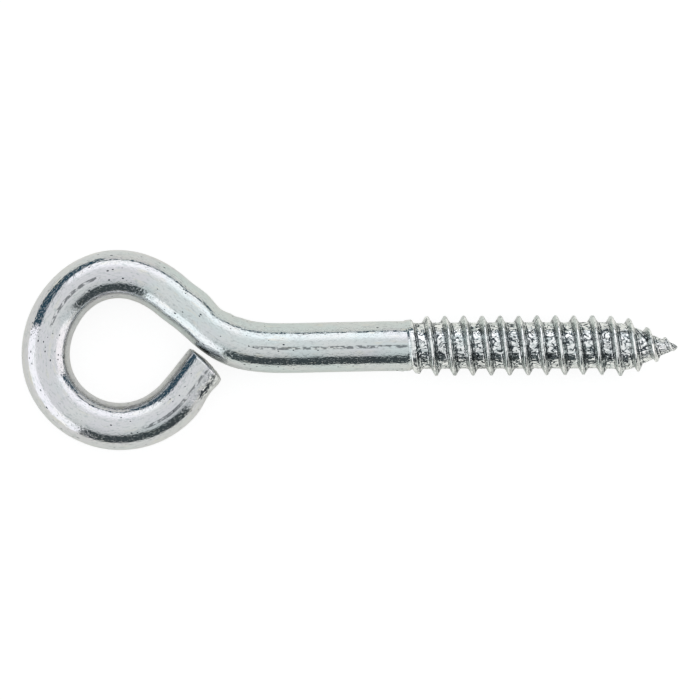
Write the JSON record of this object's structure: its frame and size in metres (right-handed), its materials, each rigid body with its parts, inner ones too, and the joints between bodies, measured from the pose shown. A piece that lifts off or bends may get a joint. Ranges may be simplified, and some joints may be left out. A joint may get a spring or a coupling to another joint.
{
  "type": "eye bolt",
  "caption": "Zinc-plated wire eye bolt: an open bent eye on a straight shank with a coarse wood-screw thread and a gimlet point, for screwing into timber.",
  "frame": {"origin": "centre of the eye, on the centre line of the shank", "axes": "+X along the shank to the point, +Z square to the plane of the eye, +Y to the side where the neck leaves the eye; the part lies flat"},
  "size_m": [0.1008, 0.031, 0.0094],
  "materials": {
    "zinc_plate": "bright zinc plate on drawn steel wire, semi-gloss, with fine draw lines and dark specks"
  },
  "bodies": {
    "root": {"eye": "zinc_plate", "neck": "zinc_plate", "shank": "zinc_plate", "thread": "zinc_plate", "point": "zinc_plate"}
  },
  "joints": []
}
